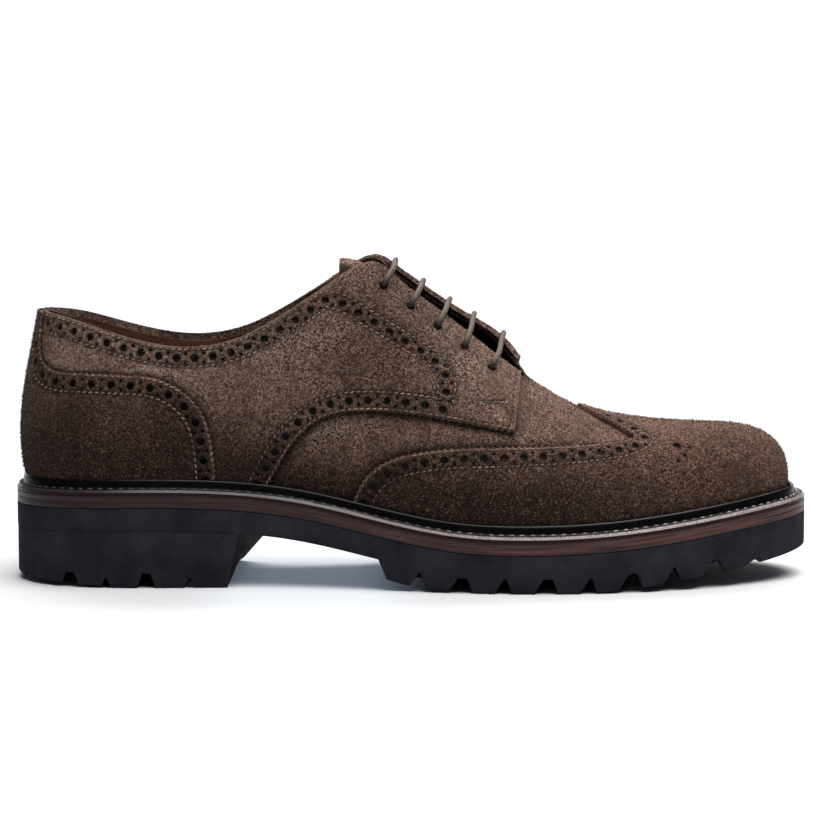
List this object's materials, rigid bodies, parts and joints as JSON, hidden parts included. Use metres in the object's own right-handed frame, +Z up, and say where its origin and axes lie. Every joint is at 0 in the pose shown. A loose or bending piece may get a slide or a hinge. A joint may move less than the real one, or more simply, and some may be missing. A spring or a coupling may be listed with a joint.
{
  "type": "brogue derby shoe",
  "caption": "Right wingtip brogue derby in brown suede with laced facings, storm welt, leather midsole and a lugged rubber sole with heel block.",
  "frame": {"origin": "centre of the shoe's box on the floor", "axes": "+X towards the toe, +Y towards the medial (inner) side, +Z up; the outer (lateral) side faces -Y"},
  "size_m": [0.308, 0.1046, 0.1243],
  "materials": {
    "suede": "matte",
    "rubber": "matte",
    "welt_leather": "satin",
    "midsole_leather": "satin",
    "lining_leather": "satin",
    "cord": "matte"
  },
  "bodies": {
    "root": {"outsole": "rubber", "heel": "rubber", "midsole": "midsole_leather", "welt": "welt_leather", "insole": "lining_leather", "upper": "suede", "wing_cap": "suede", "quarter_lateral": "suede", "quarter_medial": "suede", "heel_counter": "suede", "tongue": "suede", "lace": "cord"}
  },
  "joints": []
}
